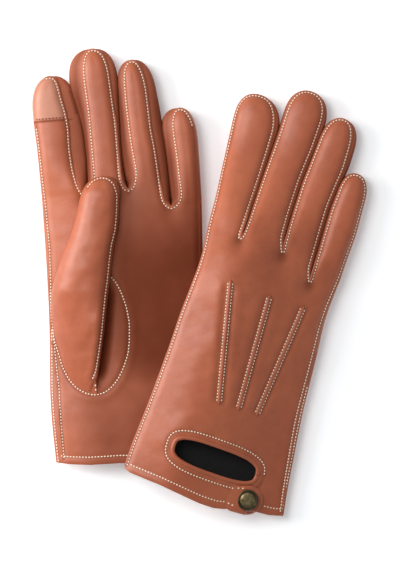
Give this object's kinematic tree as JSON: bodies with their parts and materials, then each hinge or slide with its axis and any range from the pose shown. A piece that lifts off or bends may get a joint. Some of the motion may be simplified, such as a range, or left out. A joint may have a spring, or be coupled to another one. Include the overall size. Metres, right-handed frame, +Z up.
{
  "type": "touchscreen gloves",
  "caption": "Pair of smooth tan leather touchscreen gloves with cream stitching, raised points on the back, an oval wrist vent and a snap tab.",
  "frame": {"origin": "under the middle of the pair's bounding box, on the surface that they lie on", "axes": "+Y towards the fingertips, +Z up from the surface"},
  "size_m": [0.2, 0.2792, 0.0396],
  "materials": {
    "leather": "smooth tan nappa leather, fine grain, soft sheen",
    "touch_leather": "paler matt conductive leather of the index fingertips",
    "lining": "fine knit, near black",
    "thread": "cream twisted sewing thread",
    "antique_brass": "dark antique brass with a polished centre"
  },
  "bodies": {
    "left_hand": {"left_back_panel": "leather", "left_hand_lining": "lining", "left_palm_panel": "leather", "left_snap_stud": "antique_brass", "left_thumb_base": "leather", "left_vent_binding": "leather"},
    "left_index_finger": {"left_index_back": "leather", "left_index_fourchette_little_side": "leather", "left_index_front": "leather", "left_index_lining": "lining", "left_touch_tip": "touch_leather"},
    "left_middle_finger": {"left_middle_back": "leather", "left_middle_fourchette_index_side": "leather", "left_middle_fourchette_little_side": "leather", "left_middle_front": "leather", "left_middle_lining": "lining"},
    "left_ring_finger": {"left_ring_back": "leather", "left_ring_fourchette_index_side": "leather", "left_ring_fourchette_little_side": "leather", "left_ring_front": "leather", "left_ring_lining": "lining"},
    "left_little_finger": {"left_little_back": "leather", "left_little_fourchette_index_side": "leather", "left_little_front": "leather", "left_little_lining": "lining"},
    "left_thumb_body": {"left_thumb": "leather", "left_thumb_lining": "lining"},
    "left_tab_body": {"left_snap_cap": "antique_brass", "left_snap_socket": "antique_brass", "left_snap_tab": "leather"},
    "right_hand": {"right_back_panel": "leather", "right_hand_lining": "lining", "right_palm_panel": "leather", "right_snap_stud": "antique_brass", "right_thumb_base": "leather", "right_vent_binding": "leather"},
    "right_index_finger": {"right_index_back": "leather", "right_index_fourchette_little_side": "leather", "right_index_front": "leather", "right_index_lining": "lining", "right_touch_tip": "touch_leather"},
    "right_middle_finger": {"right_middle_back": "leather", "right_middle_fourchette_index_side": "leather", "right_middle_fourchette_little_side": "leather", "right_middle_front": "leather", "right_middle_lining": "lining"},
    "right_ring_finger": {"right_ring_back": "leather", "right_ring_fourchette_index_side": "leather", "right_ring_fourchette_little_side": "leather", "right_ring_front": "leather", "right_ring_lining": "lining"},
    "right_little_finger": {"right_little_back": "leather", "right_little_fourchette_index_side": "leather", "right_little_front": "leather", "right_little_lining": "lining"},
    "right_thumb_body": {"right_thumb": "leather", "right_thumb_lining": "lining"},
    "right_tab_body": {"right_snap_cap": "antique_brass", "right_snap_socket": "antique_brass", "right_snap_tab": "leather"}
  },
  "joints": [
    {"name": "right_glove_lift", "type": "slide", "parent": "left_hand", "child": "right_hand", "axis": [0, 0, 1], "range_m": [0, 0.1]},
    {"name": "left_index_curl", "type": "hinge", "parent": "left_hand", "child": "left_index_finger", "pos_m": [-0.08192, 0.02489, 0.01698], "axis": [0.9971, 0.0767, 0], "range_deg": [0, 20]},
    {"name": "left_middle_curl", "type": "hinge", "parent": "left_hand", "child": "left_middle_finger", "pos_m": [-0.0579, 0.02674, 0.01698], "axis": [0.9971, 0.0767, 0], "range_deg": [0, 9]},
    {"name": "left_ring_curl", "type": "hinge", "parent": "left_hand", "child": "left_ring_finger", "pos_m": [-0.03397, 0.02858, 0.01698], "axis": [0.9971, 0.0767, 0], "range_deg": [0, 80]},
    {"name": "left_little_curl", "type": "hinge", "parent": "left_hand", "child": "left_little_finger", "pos_m": [-0.01123, 0.03033, 0.01698], "axis": [0.9971, 0.0767, 0], "range_deg": [0, 80]},
    {"name": "left_thumb_fold", "type": "hinge", "parent": "left_hand", "child": "left_thumb_body", "pos_m": [-0.07204, -0.00845, 0.03228], "axis": [0.9971, 0.0767, 0], "range_deg": [0, 60]},
    {"name": "left_tab_flap", "type": "hinge", "parent": "left_hand", "child": "left_tab_body", "pos_m": [-0.02857, -0.10409, 0.0061], "axis": [-0.0767, 0.9971, 0], "range_deg": [0, 150]},
    {"name": "right_index_curl", "type": "hinge", "parent": "right_hand", "child": "right_index_finger", "pos_m": [0.01017, 0.01396, 0.02194], "axis": [-0.9573, 0.289, 0], "range_deg": [0, 13]},
    {"name": "right_middle_curl", "type": "hinge", "parent": "right_hand", "child": "right_middle_finger", "pos_m": [0.03099, 0.00767, 0.01688], "axis": [-0.9573, 0.289, 0], "range_deg": [0, 4]},
    {"name": "right_ring_curl", "type": "hinge", "parent": "right_hand", "child": "right_ring_finger", "pos_m": [0.05195, 0.00134, 0.00797], "axis": [-0.9573, 0.289, 0], "range_deg": [0, 80]},
    {"name": "right_little_curl", "type": "hinge", "parent": "right_hand", "child": "right_little_finger", "pos_m": [0.07115, -0.00446, 0.00162], "axis": [-0.9573, 0.289, 0], "range_deg": [0, 80]},
    {"name": "right_thumb_fold", "type": "hinge", "parent": "right_hand", "child": "right_thumb_body", "pos_m": [0.00441, -0.01982, 0.01205], "axis": [-0.9573, 0.289, 0], "range_deg": [0, 14]},
    {"name": "right_tab_flap", "type": "hinge", "parent": "right_hand", "child": "right_tab_body", "pos_m": [0.01035, -0.12471, 0.02729], "axis": [-0.289, -0.9573, 0], "range_deg": [0, 150]}
  ]
}
